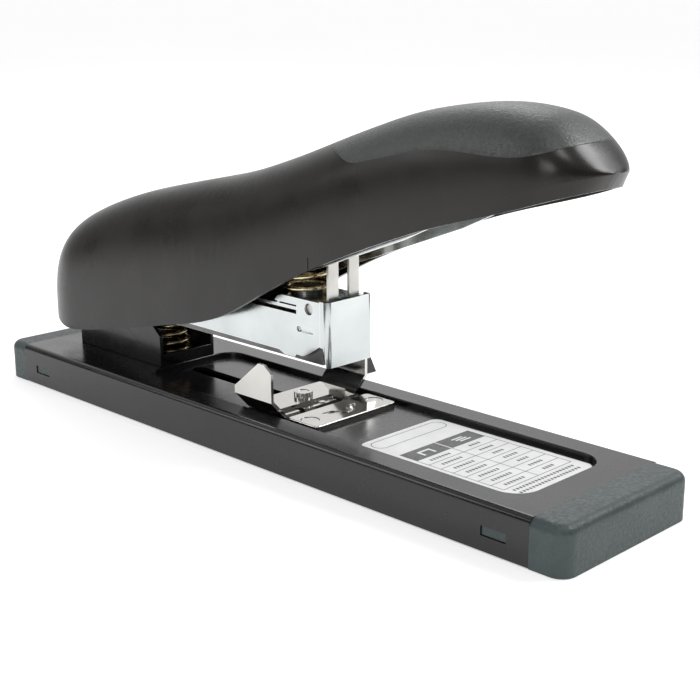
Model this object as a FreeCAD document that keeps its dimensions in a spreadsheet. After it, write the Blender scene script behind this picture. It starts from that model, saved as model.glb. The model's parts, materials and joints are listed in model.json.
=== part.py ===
"""Heavy-duty desktop stapler, built as a parametric assembly of separate pieces.

Frame: millimetres, +X towards the anvil end, +Y towards the far long side, +Z up.
The origin lies under the middle of the base, on the surface that the feet rest on.
"""
import FreeCAD, Part
import math
import os
import re
import string
import Sketcher

doc = FreeCAD.newDocument("HeavyDutyStapler")

# ---------------------------------------------------------------- driving dimensions
DIMENSIONS = {
    # base pan, a pressed steel cover open at both ends
    "pan_length": 251.0,
    "pan_width": 62.0,
    "pan_top": 15.0,
    "pan_foot": 0.4,
    "cap_foot": 0.2,
    "pan_edge_radius": 2.0,
    "sheet": 1.2,
    "recess_rear": -60.5,
    "recess_front": 114.5,
    "recess_half": 21.0,
    "recess_depth": 2.0,
    "recess_corner": 8.0,
    "slot_rear": -56.5,
    "slot_front": 14.0,
    "slot_half": 2.9,
    # moulded end caps, their tongues and side clips
    "cap_length": 12.0,
    "cap_corner": 5.0,
    "cap_edge": 3.0,
    "tongue_length": 20.0,
    "tongue_top": 11.4,
    "clip_middle": 113.2,
    "clip_length": 8.6,
    "clip_height": 3.0,
    "clip_low": 5.0,
    # bottom closing plate, screws and feet
    "bottom_low": 2.0,
    "bottom_thick": 0.8,
    "bottom_half_length": 123.0,
    "bottom_half_width": 29.4,
    "screw_reach": 118.0,
    "screw_side": 22.0,
    "foot_reach": 100.0,
    "foot_side": 22.0,
    "foot_radius": 6.0,
    # anvil
    "anvil_rear": 16.0,
    "anvil_front": 30.2,
    "anvil_half": 18.9,
    "anvil_thick": 1.7,
    "anvil_rivet_side": 15.0,
    "anvil_rivet_radius": 2.9,
    "staple_x": 24.3,
    # capacity label
    "label_rear": 48.5,
    "label_front": 112.5,
    "label_half": 18.5,
    "label_thick": 0.15,
    # riser bracket and main pin
    "riser_rear": -112.5,
    "riser_front": -60.5,
    "riser_half": 12.7,
    "riser_sheet": 1.4,
    "riser_rivet_front": -84.0,
    "riser_rivet_rear": -105.0,
    "riser_rivet_side": 8.0,
    "pin_x": -95.5,
    "pin_z": 36.8,
    "pin_radius": 3.0,
    "pin_half": 15.5,
    "pin_fit": 0.05,
    # springs
    "lift_x": -71.5,
    "lift_low_radius": 8.6,
    "lift_top_radius": 6.2,
    "lift_turns": 4.5,
    "lift_wire": 0.75,
    "return_x": 7.0,
    "return_radius": 7.8,
    "return_turns": 4.5,
    "return_taper": 2.0,
    "return_wire": 0.8,
    # paper guide
    "guide_rear": -5.9,
    "guide_front": 12.6,
    "guide_flat_half": 16.6,
    "guide_sheet": 1.1,
    "ear_half": 22.6,
    "ear_low": 19.5,
    "ear_top": 32.0,
    "pad_rear": -4.5,
    "pad_front": 9.0,
    "pad_top": 15.3,
    "knob_x": 3.8,
    "knob_radius": 3.3,
    "knob_height": 1.8,
    "guide_rivet_radius": 2.0,
    "rivet_low": 9.8,
    "knob_flutes": 16,
    "flute_radius": 0.32,
    "flare_reach": 4.6,
    "flare_lean": 3.6,
    "pip_x": 11.2,
    "pip_side": 1.7,
    "pip_radius": 1.1,
    "pip_height": 0.4,
    # magazine
    "magazine_half": 9.8,
    "magazine_sheet": 1.1,
    "head_top": 53.0,
    "magazine_front": 26.2,
    "slot_low": 47.5,
    "slot_high": 50.6,
    "slot_end": 11.5,
    "slot_start": -40.5,
    "tongue_rear": 0.9,
    "rail_rear": -88.0,
    "rail_half": 8.3,
    "rail_sheet": 1.6,
    "rail_height": 10.0,
    "rail_low": 31.7,
    "rail_front": 22.6,
    "cover_front": 27.0,
    "cover_half": 10.5,
    "cover_low": 31.7,
    "cover_top": 53.7,
    "cover_flange": 3.7,
    "cover_sheet": 0.65,
    "core_half": 5.6,
    "core_low": 33.8,
    "core_top": 40.2,
    "core_sheet": 1.0,
    "seat_radius": 5.6,
    "seat_thick": 1.6,
    # driver fork
    "driver_rear": 23.0,
    "driver_thick": 1.2,
    "driver_half": 7.0,
    "driver_low": 48.0,
    "driver_gap_half": 2.4,
    "fork_low": 51.3,
    "driver_top": 83.3,
    # pusher
    "pusher_rear": 0.0,
    "pusher_front": 21.0,
    "pusher_half": 6.4,
    "pusher_top": 42.6,
    "pusher_boss_front": 9.0,
    "rod_z": 45.2,
    "rod_radius": 1.5,
    "stop_thick": 3.0,
    "pusher_turns": 20.0,
    "pusher_wire": 0.35,
    "guide_block_rear": 12.9,
    "block_low": 43.2,
    "mark_rear": 11.6,
    "mark_length": 8.2,
    "mark_height": 1.9,
    "mark_low": 41.7,
    "head_pin_x": 17.5,
    "head_pin_z": 50.1,
    "head_pin_radius": 1.7,
    "head_pin_inset": 1.0,
    # handle lever
    "lever_half": 14.4,
    "lever_sheet": 1.4,
    "lever_edge": 2.6,
    "lever_slot_rear": 15.0,
    "lever_slot_length": 10.2,
    "lever_slot_width": 5.4,
    "screw_rear": -40.0,
    "screw_middle": 60.0,
    "screw_front": 84.0,
    # handle shell
    "handle_rear": -133.5,
    "handle_nose": 127.0,
    "handle_half": 18.6,
    "shell_wall": 2.2,
    "nose_power": 2.2,
    "nose_start": 105.0,
    "tail_power": 2.4,
    "tail_start": -106.0,
    "arch_power": 2.6,
    "seam_x": 27.0,
    "band_height": 4.4,
    "band_lean": 0.6,
    "band_step": 0.4,
    "seam_gap": 0.35,
    "boss_radius": 4.0,
    "boss_gap": 1.3,
    "pilot_radius": 1.55,
}

# Corner places (x, z) of the side outlines, each kept in the sheet as NAME_a_x, NAME_a_z, NAME_b_x ...
OUTLINES = {
    # outer magazine channel, from the rear bottom corner round to the rear top corner
    "channel": [
        (-108.0, 34.2), (2.5, 33.8), (5.5, 32.6), (10.3, 32.6), (11.2, 33.6), (14.5, 33.6), (17.5, 35.0),
        (23.5, 38.9), (26.2, 38.9), (26.2, 53.0), (4.5, 53.0), (2.2, 52.3), (0.9, 50.8), (0.9, 49.6),
        (-108.0, 49.6),
    ],
    # lever channel under the handle: roof, then lower edge
    "lever": [
        (-101.0, 52.3), (-60.0, 60.4), (-5.0, 74.8), (25.0, 80.8), (96.0, 98.8), (96.0, 95.2),
        (80.0, 87.6), (63.0, 79.6), (30.0, 67.0), (16.0, 61.8), (-16.0, 47.8), (-50.0, 37.3),
        (-86.0, 29.8), (-101.0, 29.8),
    ],
    # crest of the handle on its centre plane
    "crest": [
        (-133.5, 42.8), (-131.5, 48.8), (-127.0, 55.0), (-117.0, 63.0), (-100.0, 70.8), (-75.0, 78.6),
        (-45.0, 85.4), (-15.0, 91.9), (10.0, 99.6), (33.0, 107.7), (60.0, 116.3), (84.0, 120.3),
        (100.0, 120.5), (112.0, 117.9), (120.0, 112.1), (124.5, 107.1), (127.0, 104.3),
    ],
    # lower edge of the handle's side walls
    "hem": [
        (-133.5, 31.8), (-130.0, 26.3), (-122.0, 23.1), (-110.0, 22.0), (-80.0, 27.5), (-52.0, 33.8),
        (-25.0, 40.2), (-14.0, 44.8), (16.7, 61.1), (45.0, 73.5), (75.0, 84.7), (100.0, 92.0),
        (118.0, 97.4), (127.0, 99.6),
    ],
    # lower boundary of the grip insert on the handle's sides
    "grip": [
        (20.0, 104.2), (25.8, 104.0), (31.2, 103.3), (36.1, 102.0), (42.3, 100.7), (48.8, 101.8),
        (56.0, 103.4), (72.3, 106.9), (88.1, 107.8), (107.7, 108.2), (114.6, 109.7), (120.4, 111.7),
        (135.0, 115.8),
    ],
}

sheet = doc.addObject("Spreadsheet::Sheet", "Dimensions")
for name, corners in OUTLINES.items():
    for letter, (across, up) in zip(string.ascii_lowercase, corners):
        DIMENSIONS["%s_%s_x" % (name, letter)] = across
        DIMENSIONS["%s_%s_z" % (name, letter)] = up
for row, (alias, value) in enumerate(DIMENSIONS.items(), start=1):
    sheet.set("A%d" % row, alias)
    sheet.set("B%d" % row, repr(value))
    sheet.setAlias("B%d" % row, alias)
doc.recompute()


def cell(alias):
    """The value of one driving dimension, read from the sheet."""
    return float(getattr(sheet, alias))


def corner_names(name):
    """The aliases of an outline's corners, as pairs for a sketch."""
    letters = string.ascii_lowercase[:len(OUTLINES[name])]
    return [("%s_%s_x" % (name, letter), "%s_%s_z" % (name, letter)) for letter in letters]


def corners_of(name):
    """An outline's corners as numbers, read from the sheet."""
    return [(cell(across), cell(up)) for across, up in corner_names(name)]


def bound(text):
    """An expression with each alias pointed at the sheet."""
    return re.sub(r"[a-z_]{2,}", lambda word: "Dimensions." + word.group(0), str(text))


# ---------------------------------------------------------------- building helpers
VECTOR = FreeCAD.Vector
ALONG = {"x": VECTOR(1, 0, 0), "y": VECTOR(0, 1, 0), "z": VECTOR(0, 0, 1)}
pieces = []


def keep(label, item):
    """Name a finished sub-part; its label is its file's name."""
    item.Label = label
    pieces.append(item)
    return item


def place(item, at):
    """Bind the three places of an object to the sheet."""
    for axis, text in zip("xyz", at):
        item.setExpression("Placement.Base." + axis, bound(text))


def box(size, at):
    """A block with bound sides, from its lowest corner."""
    item = doc.addObject("Part::Box", "Block")
    for side, text in zip(("Length", "Width", "Height"), size):
        item.setExpression(side, bound(text))
    place(item, at)
    return item


def rod(radius, length, at, axis="z"):
    """A round bar with bound radius and length, from the centre of its first end."""
    item = doc.addObject("Part::Cylinder", "Round")
    item.setExpression("Radius", bound(radius))
    item.setExpression("Height", bound(length))
    item.Placement = FreeCAD.Placement(VECTOR(), FreeCAD.Rotation(ALONG["z"], ALONG[axis]))
    place(item, at)
    return item


def join(*items):
    """Several solids fused, or kept side by side where they don't touch."""
    if len(items) == 1:
        return items[0]
    item = doc.addObject("Part::MultiFuse", "Join")
    item.Shapes = list(items)
    return item


def group(*items):
    """Separate identical solids that share one node."""
    item = doc.addObject("Part::Compound", "Group")
    item.Links = list(items)
    return item


def cut(base, *tools):
    """One solid with others taken away."""
    item = doc.addObject("Part::Cut", "Cut")
    item.Base = base
    item.Tool = join(*tools)
    return item


def body():
    """An empty PartDesign body."""
    return doc.addObject("PartDesign::Body", "Body")


def sketch(owner, role, offset=None):
    """A sketch on one of the body's own origin planes, moved along its normal."""
    item = owner.newObject("Sketcher::SketchObject", "Sketch")
    plane = next(face for face in owner.Origin.OriginFeatures if face.Role == role)
    item.AttachmentSupport = (plane, [""])
    item.MapMode = "FlatFace"
    if offset is not None:
        item.setExpression("AttachmentOffset.Base.z", bound(offset))
    return item


def fix(item, kind, index, point, text):
    """Hold one coordinate of a sketch point at a bound distance from the origin."""
    number = item.addConstraint(Sketcher.Constraint(kind, -1, 1, index, point, 1.0))
    item.setExpression("Constraints[%d]" % number, bound(text))


def polygon(item, corners):
    """A closed outline whose corners are all bound to the sheet."""
    first = item.GeometryCount
    count = len(corners)
    ring = [
        VECTOR(50 * math.cos(2 * math.pi * turn / count), 50 * math.sin(2 * math.pi * turn / count), 0)
        for turn in range(count)
    ]
    for turn in range(count):
        item.addGeometry(Part.LineSegment(ring[turn], ring[(turn + 1) % count]))
    for turn in range(count):
        item.addConstraint(
            Sketcher.Constraint("Coincident", first + turn, 2, first + (turn + 1) % count, 1)
        )
    for turn, (across, up) in enumerate(corners):
        fix(item, "DistanceX", first + turn, 1, across)
        fix(item, "DistanceY", first + turn, 1, up)


def rectangle(item, low, high):
    """A rectangular outline between two opposite corners."""
    polygon(item, [low, (high[0], low[1]), high, (low[0], high[1])])


def pad(owner, outline, length, middle=False):
    """Raise an outline into a solid."""
    item = owner.newObject("PartDesign::Pad", "Pad")
    item.Profile = outline
    item.setExpression("Length", bound(length))
    item.Midplane = middle
    doc.recompute()
    return item


def pocket(owner, outline, depth, middle=False, upward=False):
    """Sink an outline into the solid, and make sure that it did cut."""
    before = owner.Shape.Volume
    item = owner.newObject("PartDesign::Pocket", "Pocket")
    item.Profile = outline
    item.setExpression("Length", bound(depth))
    item.Midplane = middle
    item.Reversed = upward
    doc.recompute()
    if owner.Shape.Volume >= before - 1e-6:
        raise RuntimeError("a pocket of %s cut nothing" % owner.Label)
    return item


def round_edges(owner, radius, wanted):
    """Fillet the edges of the body's tip that a test picks by their middle and direction."""
    names = []
    for number, edge in enumerate(owner.Tip.Shape.Edges, start=1):
        middle = edge.valueAt(0.5 * (edge.FirstParameter + edge.LastParameter))
        ends = edge.Vertexes[-1].Point - edge.Vertexes[0].Point
        way = ends.normalize() if ends.Length > 1e-6 else VECTOR()
        if wanted(middle, way):
            names.append("Edge%d" % number)
    base = owner.Tip
    item = owner.newObject("PartDesign::Fillet", "Fillet")
    item.Base = (base, names)
    item.setExpression("Radius", bound(radius))
    doc.recompute()
    return item


def near(one, other):
    """Whether two lengths agree within a hundredth of a millimetre."""
    return abs(one - other) < 0.01


def solid_of(label, shape, at=VECTOR(), turn=FreeCAD.Rotation()):
    """A sub-part whose shape is worked out from the sheet in code, then put in its place."""
    item = doc.addObject("Part::Feature", label)
    item.Shape = shape
    item.Placement = FreeCAD.Placement(at, turn)
    return keep(label, item)


# ---------------------------------------------------------------- base
def base_pan():
    """Pressed cover: long sides folded down, a stamped recess with a slot in its floor."""
    owner = body()
    outline = sketch(owner, "XY_Plane", "pan_foot")
    rectangle(outline, ("-pan_length/2", "-pan_width/2"), ("pan_length/2", "pan_width/2"))
    pad(owner, outline, "pan_top-pan_foot")
    top, side = cell("pan_top"), cell("pan_width") / 2
    round_edges(owner, "pan_edge_radius",
                lambda at, way: abs(way.x) > 0.9 and near(at.z, top) and near(abs(at.y), side))
    recess = sketch(owner, "XY_Plane", "pan_top")
    rectangle(recess, ("recess_rear", "-recess_half"), ("recess_front", "recess_half"))
    pocket(owner, recess, "recess_depth")
    half = cell("recess_half")
    round_edges(owner, "recess_corner",
                lambda at, way: abs(way.z) > 0.9 and near(abs(at.y), half))
    round_edges(owner, "sheet/2",
                lambda at, way: near(at.z, top) and abs(at.y) < half + 0.1 and abs(at.x) < 116)
    cavity = sketch(owner, "XY_Plane", "pan_foot")
    rectangle(cavity, ("-pan_length/2-1", "sheet-pan_width/2"), ("pan_length/2+1", "pan_width/2-sheet"))
    pocket(owner, cavity, "pan_top-recess_depth-sheet-pan_foot", upward=True)
    upper = sketch(owner, "XY_Plane", "pan_top-recess_depth-sheet")
    rectangle(upper, ("-pan_length/2-1", "sheet-pan_width/2"), ("pan_length/2+1", "pan_width/2-sheet"))
    rectangle(upper, ("recess_rear-sheet", "-recess_half-sheet"), ("recess_front+sheet", "recess_half+sheet"))
    pocket(owner, upper, "recess_depth", upward=True)
    doc.recompute()
    floor_low = "pan_top-recess_depth-3*sheet"
    slot = [
        box(("slot_front-slot_rear-2*slot_half", "2*slot_half", "5*sheet"),
            ("slot_rear+slot_half", "-slot_half", floor_low)),
        rod("slot_half", "5*sheet", ("slot_rear+slot_half", 0, floor_low)),
        rod("slot_half", "5*sheet", ("slot_front-slot_half", 0, floor_low)),
    ]
    holes = [
        rod("anvil_rivet_radius-0.4", "5*sheet",
            ("(anvil_rear+anvil_front)/2", "%d*anvil_rivet_side" % way, floor_low))
        for way in (-1, 1)
    ]
    for row in ("riser_rivet_rear", "riser_rivet_front"):
        for way in (-1, 1):
            holes.append(rod(1.55, 8, (row, "%d*riser_rivet_side" % way, "pan_top-4")))
    clips = [
        box(("clip_length+0.4", "pan_width+2", "clip_height"),
            ("%d*clip_middle-clip_length/2-0.2" % way, "-pan_width/2-1", "clip_low"))
        for way in (-1, 1)
    ]
    return keep("base_pan", cut(owner, *slot, *holes, *clips))


def end_cap(label, way):
    """Moulded cap with a tongue in the pan, side clips and two screw pilot holes."""
    owner = body()
    outline = sketch(owner, "XY_Plane", "cap_foot")
    start, stop = "%d*pan_length/2" % way, "%d*(pan_length/2+cap_length)" % way
    rectangle(outline, (start, "-pan_width/2"), (stop, "pan_width/2"))
    pad(owner, outline, "pan_top-cap_foot")
    end, side, top = cell("pan_length") / 2 + cell("cap_length"), cell("pan_width") / 2, cell("pan_top")
    round_edges(owner, "cap_corner",
                lambda at, spin: abs(spin.z) > 0.9 and near(abs(at.x), end))
    inner = cell("pan_length") / 2
    round_edges(owner, "cap_edge",
                lambda at, spin: near(at.z, top) and abs(at.x) > inner + 0.05)
    under = sketch(owner, "XY_Plane", "cap_foot")
    rectangle(under, ("%d*(pan_length/2-1)" % way, "3-pan_width/2"),
              ("%d*(pan_length/2+cap_length-3)" % way, "pan_width/2-3"))
    pocket(owner, under, "2.2", upward=True)
    rear = "%d*(pan_length/2-tongue_length/2)-tongue_length/2" % way
    tongue = box(("tongue_length", "pan_width-2*sheet-0.6", "tongue_top-bottom_low-bottom_thick"),
                 (rear, "sheet+0.3-pan_width/2", "bottom_low+bottom_thick"))
    hollow = box(("tongue_length-4", "2*screw_side-14", "tongue_top-bottom_low-bottom_thick-1.6"),
                 ("%d*(pan_length/2-tongue_length/2)-(tongue_length-4)/2" % way, "7-screw_side",
                  "bottom_low+bottom_thick"))
    clips = [
        box(("clip_length", "1.1", "clip_height-0.4"),
            ("%d*clip_middle-clip_length/2" % way, text, "clip_low+0.2"))
        for text in ("0.4-pan_width/2", "pan_width/2-1.5")
    ]
    pilots = [
        rod(1.25, "7.0", ("%d*screw_reach" % way, "%d*screw_side" % across, "bottom_low"))
        for across in (-1, 1)
    ]
    return keep(label, cut(join(owner, cut(tongue, hollow), *clips), *pilots))


def bottom_plate():
    """Closing plate under the pan, drilled for its screws and the feet's studs."""
    plate = box(("2*bottom_half_length", "2*bottom_half_width", "bottom_thick"),
                ("-bottom_half_length", "-bottom_half_width", "bottom_low"))
    holes = []
    for along in (-1, 1):
        for across in (-1, 1):
            holes.append(rod(1.6, 4, ("%d*screw_reach" % along, "%d*screw_side" % across, 0)))
            holes.append(rod(2.0, 4, ("%d*foot_reach" % along, "%d*foot_side" % across, 0)))
    return keep("bottom_plate", cut(plate, *holes))


def bottom_screws():
    """Four pan-head screws that hold the closing plate to the caps' tongues."""
    screws = []
    for along in (-1, 1):
        for across in (-1, 1):
            at = ("%d*screw_reach" % along, "%d*screw_side" % across)
            head = rod(2.6, "1.4", (*at, "bottom_low-1.4"))
            shank = rod(1.2, "6.8", (*at, "bottom_low-0.5"))
            socket = box((2.8, 0.6, 0.8), (at[0] + "-1.4", at[1] + "-0.3", "bottom_low-1.4"))
            screws.append(cut(join(head, shank), socket))
    return keep("bottom_screws", group(*screws))


def rubber_feet():
    """Four rubber feet, each with a stud snapped through the closing plate."""
    feet = []
    for along in (-1, 1):
        for across in (-1, 1):
            at = ("%d*foot_reach" % along, "%d*foot_side" % across)
            disc = rod("foot_radius", "bottom_low", (*at, 0))
            stud = rod(1.9, "bottom_low+bottom_thick", (*at, 0))
            barb = rod(2.5, 1.2, (*at, "bottom_low+bottom_thick"))
            feet.append(join(disc, stud, barb))
    return keep("rubber_feet", group(*feet))


def leaf(x_text, y_text, length, width, twist):
    """A leaf-shaped staple groove: two equal arcs, turned about its middle."""
    item = doc.addObject("Part::Feature", "Leaf")
    sag = width / 2
    tips = [VECTOR(0, -length / 2, 0), VECTOR(0, length / 2, 0)]
    edges = [
        Part.Arc(tips[0], VECTOR(sag, 0, 0), tips[1]).toShape(),
        Part.Arc(tips[1], VECTOR(-sag, 0, 0), tips[0]).toShape(),
    ]
    item.Shape = Part.Face(Part.Wire(edges)).extrude(VECTOR(0, 0, 2.0))
    item.Placement = FreeCAD.Placement(VECTOR(), FreeCAD.Rotation(ALONG["z"], twist))
    place(item, (x_text, y_text, "pan_top-recess_depth+anvil_thick-0.7"))
    return item


def anvil_plate():
    """Clinching plate with two pairs of crossing grooves and two rivet holes."""
    owner = body()
    outline = sketch(owner, "XY_Plane", "pan_top-recess_depth")
    rectangle(outline, ("anvil_rear", "-anvil_half"), ("anvil_front", "anvil_half"))
    pad(owner, outline, "anvil_thick")
    round_edges(owner, 1.6, lambda at, way: abs(way.z) > 0.9)
    top = cell("pan_top") - cell("recess_depth") + cell("anvil_thick")
    round_edges(owner, 0.35, lambda at, way: near(at.z, top))
    grooves = []
    for way in (-1, 1):
        grooves.append(leaf("staple_x-1.9", "%d*4.7" % way, 7.0, 2.7, 19 * way))
        grooves.append(leaf("staple_x+1.1", "%d*1.9" % way, 4.4, 2.0, 24 * way))
    holes = [
        rod("anvil_rivet_radius+0.3", 4,
            ("(anvil_rear+anvil_front)/2", "%d*anvil_rivet_side" % way, "pan_top-recess_depth-1"))
        for way in (-1, 1)
    ]
    return keep("anvil_plate", cut(owner, *grooves, *holes))


def anvil_rivets():
    """Two stepped rivets, flush in the anvil and headed under the recess floor."""
    rivets = []
    for way in (-1, 1):
        at = ("(anvil_rear+anvil_front)/2", "%d*anvil_rivet_side" % way)
        flush = rod("anvil_rivet_radius", "anvil_thick-0.2", (*at, "pan_top-recess_depth"))
        shank = rod("anvil_rivet_radius-0.5", "sheet+0.8", (*at, "pan_top-recess_depth-sheet-0.6"))
        head = rod("anvil_rivet_radius+0.4", 0.9, (*at, "pan_top-recess_depth-sheet-0.9"))
        rivets.append(join(flush, shank, head))
    return keep("anvil_rivets", group(*rivets))


def capacity_label():
    """Thin printed sticker on the recess floor."""
    owner = body()
    outline = sketch(owner, "XY_Plane", "pan_top-recess_depth")
    rectangle(outline, ("label_rear", "-label_half"), ("label_front", "label_half"))
    pad(owner, outline, "label_thick")
    round_edges(owner, 3.2, lambda at, way: abs(way.z) > 0.9)
    return keep("capacity_label", owner)


def riser_bracket():
    """U-shaped steel stand: two walls for the main pin, a floor and a low front lip."""
    owner = body()
    outline = sketch(owner, "XZ_Plane")
    polygon(outline, [
        ("riser_rear", "pan_top"), ("riser_front", "pan_top"), ("riser_front", "pan_top+12"),
        ("riser_front-13", "pin_z+1"), ("pin_x+7", "pin_z+8"), ("pin_x-7", "pin_z+8"),
        ("riser_rear", "pin_z-2"),
    ])
    pad(owner, outline, "2*riser_half", middle=True)
    inside = sketch(owner, "XZ_Plane")
    polygon(inside, [
        ("riser_rear-1", "pan_top+riser_sheet"), ("riser_front-riser_sheet", "pan_top+riser_sheet"),
        ("riser_front-riser_sheet", "pin_z+20"), ("riser_rear-1", "pin_z+20"),
    ])
    pocket(owner, inside, "2*riser_half-2*riser_sheet", middle=True)
    window = sketch(owner, "YZ_Plane", "riser_front-4")
    rectangle(window, ("riser_sheet-riser_half", "pan_top+4.4"), ("riser_half-riser_sheet", "pan_top+30"))
    pocket(owner, window, "8", upward=True)
    bore = rod("pin_radius+pin_fit", "2*riser_half+2", ("pin_x", "-riser_half-1", "pin_z"), "y")
    holes = [
        rod(1.55, 4, (row, "%d*riser_rivet_side" % way, "pan_top-1"))
        for row in ("riser_rivet_rear", "riser_rivet_front") for way in (-1, 1)
    ]
    return keep("riser_bracket", cut(owner, bore, *holes))


def riser_rivets():
    """Four rivets between the riser's floor and the pan."""
    rivets = []
    for row in ("riser_rivet_rear", "riser_rivet_front"):
        for way in (-1, 1):
            at = (row, "%d*riser_rivet_side" % way)
            shank = rod(1.5, "sheet+riser_sheet+1.6", (*at, "pan_top-sheet-0.8"))
            upper = rod(2.6, 0.9, (*at, "pan_top+riser_sheet"))
            lower = rod(2.6, 0.9, (*at, "pan_top-sheet-0.9"))
            rivets.append(join(shank, upper, lower))
    return keep("riser_rivets", group(*rivets))


def main_pin():
    """Pivot of the magazine and the lever, grooved near both ends."""
    bar = rod("pin_radius", "2*pin_half", ("pin_x", "-pin_half", "pin_z"), "y")
    grooves = []
    for way in (-1, 1):
        at = ("pin_x", "%d*(pin_half-0.75)-0.3" % way, "pin_z")
        ring = cut(rod("pin_radius+1", 0.6, at, "y"), rod("pin_radius-0.7", 0.6, at, "y"))
        grooves.append(ring)
    return keep("main_pin", cut(bar, *grooves))


def pin_clips():
    """Two snap rings in the pin's grooves."""
    clips = []
    for way in (-1, 1):
        at = ("pin_x", "%d*(pin_half-0.75)-0.25" % way, "pin_z")
        ring = rod("pin_radius+1.6", 0.5, at, "y")
        hole = rod("pin_radius-0.65", 0.5, at, "y")
        mouth = box((3.0, 0.6, 6), ("pin_x-1.5", "%d*(pin_half-0.75)-0.3" % way, "pin_z"))
        clips.append(cut(ring, hole, mouth))
    return keep("pin_clips", group(*clips))


# ---------------------------------------------------------------- places along the lever
def lever_roof(at_x):
    """Height of the lever's roof at one x, on the straight runs of its outline."""
    for (x_one, z_one), (x_two, z_two) in zip(corners_of("lever"), corners_of("lever")[1:]):
        if x_one <= at_x <= x_two:
            return z_one + (z_two - z_one) * (at_x - x_one) / (x_two - x_one)
    raise ValueError("no roof at x = %s" % at_x)


def on_roof(at):
    """Whether a place lies on the lever's roof."""
    first, last = cell("lever_a_x"), cell("lever_e_x")
    return first + 0.1 < at.x < last - 0.1 and near(at.z, lever_roof(at.x))


def screw_places():
    """The handle screws' x, as an alias, and the lever roof's height there."""
    aliases = ("screw_rear", "screw_middle", "screw_front")
    return [(alias, round(lever_roof(cell(alias)), 2)) for alias in aliases]


# ---------------------------------------------------------------- springs
def coil(label, centre_x, low, high, low_radius, top_radius, turns, wire):
    """A coil spring: a wire swept along a helix that widens downward from its top end."""
    slope = math.degrees(math.atan2(low_radius - top_radius, high - low))
    path = Part.makeHelix((high - low) / turns, high - low, top_radius, slope)
    start = path.Edges[0].firstVertex().Point
    ring = Part.Wire(Part.Circle(start, VECTOR(0, 1, 0), wire).toShape())
    spring = Part.Wire(path.Edges).makePipeShell([ring], True, True)
    return solid_of(label, spring, VECTOR(centre_x, 0, high), FreeCAD.Rotation(ALONG["x"], 180))


def lift_spring():
    """Conical spring that lifts the magazine off the paper."""
    low = cell("pan_top") + cell("riser_sheet") + cell("lift_wire") + 0.1
    high = cell("rail_low") - cell("lift_wire") - 0.3
    return coil("lift_spring", cell("lift_x"), low, high, cell("lift_low_radius"),
                cell("lift_top_radius"), cell("lift_turns"), cell("lift_wire"))


def return_spring():
    """Spring that raises the lever and with it the driver."""
    low = cell("head_top") + cell("return_wire") + 0.1
    reach = cell("return_x") - cell("return_radius") - cell("return_wire")
    high = lever_roof(reach) - cell("lever_sheet") - cell("return_wire") - 0.3
    return coil("return_spring", cell("return_x"), low, high, cell("return_radius"),
                cell("return_radius") - cell("return_taper"), cell("return_turns"), cell("return_wire"))


def pusher_spring():
    """Long spring round the guide rod that drives the pusher forward."""
    start = cell("rail_rear") + 0.5
    length = cell("pusher_rear") - start - 0.5
    path = Part.makeHelix(length / cell("pusher_turns"), length, cell("rod_radius") + 0.9)
    first = path.Edges[0].firstVertex().Point
    ring = Part.Wire(Part.Circle(first, VECTOR(0, 1, 0), cell("pusher_wire")).toShape())
    spring = Part.Wire(path.Edges).makePipeShell([ring], True, True)
    return solid_of("pusher_spring", spring, VECTOR(start, 0, cell("rod_z")),
                    FreeCAD.Rotation(ALONG["y"], 90))


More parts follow.
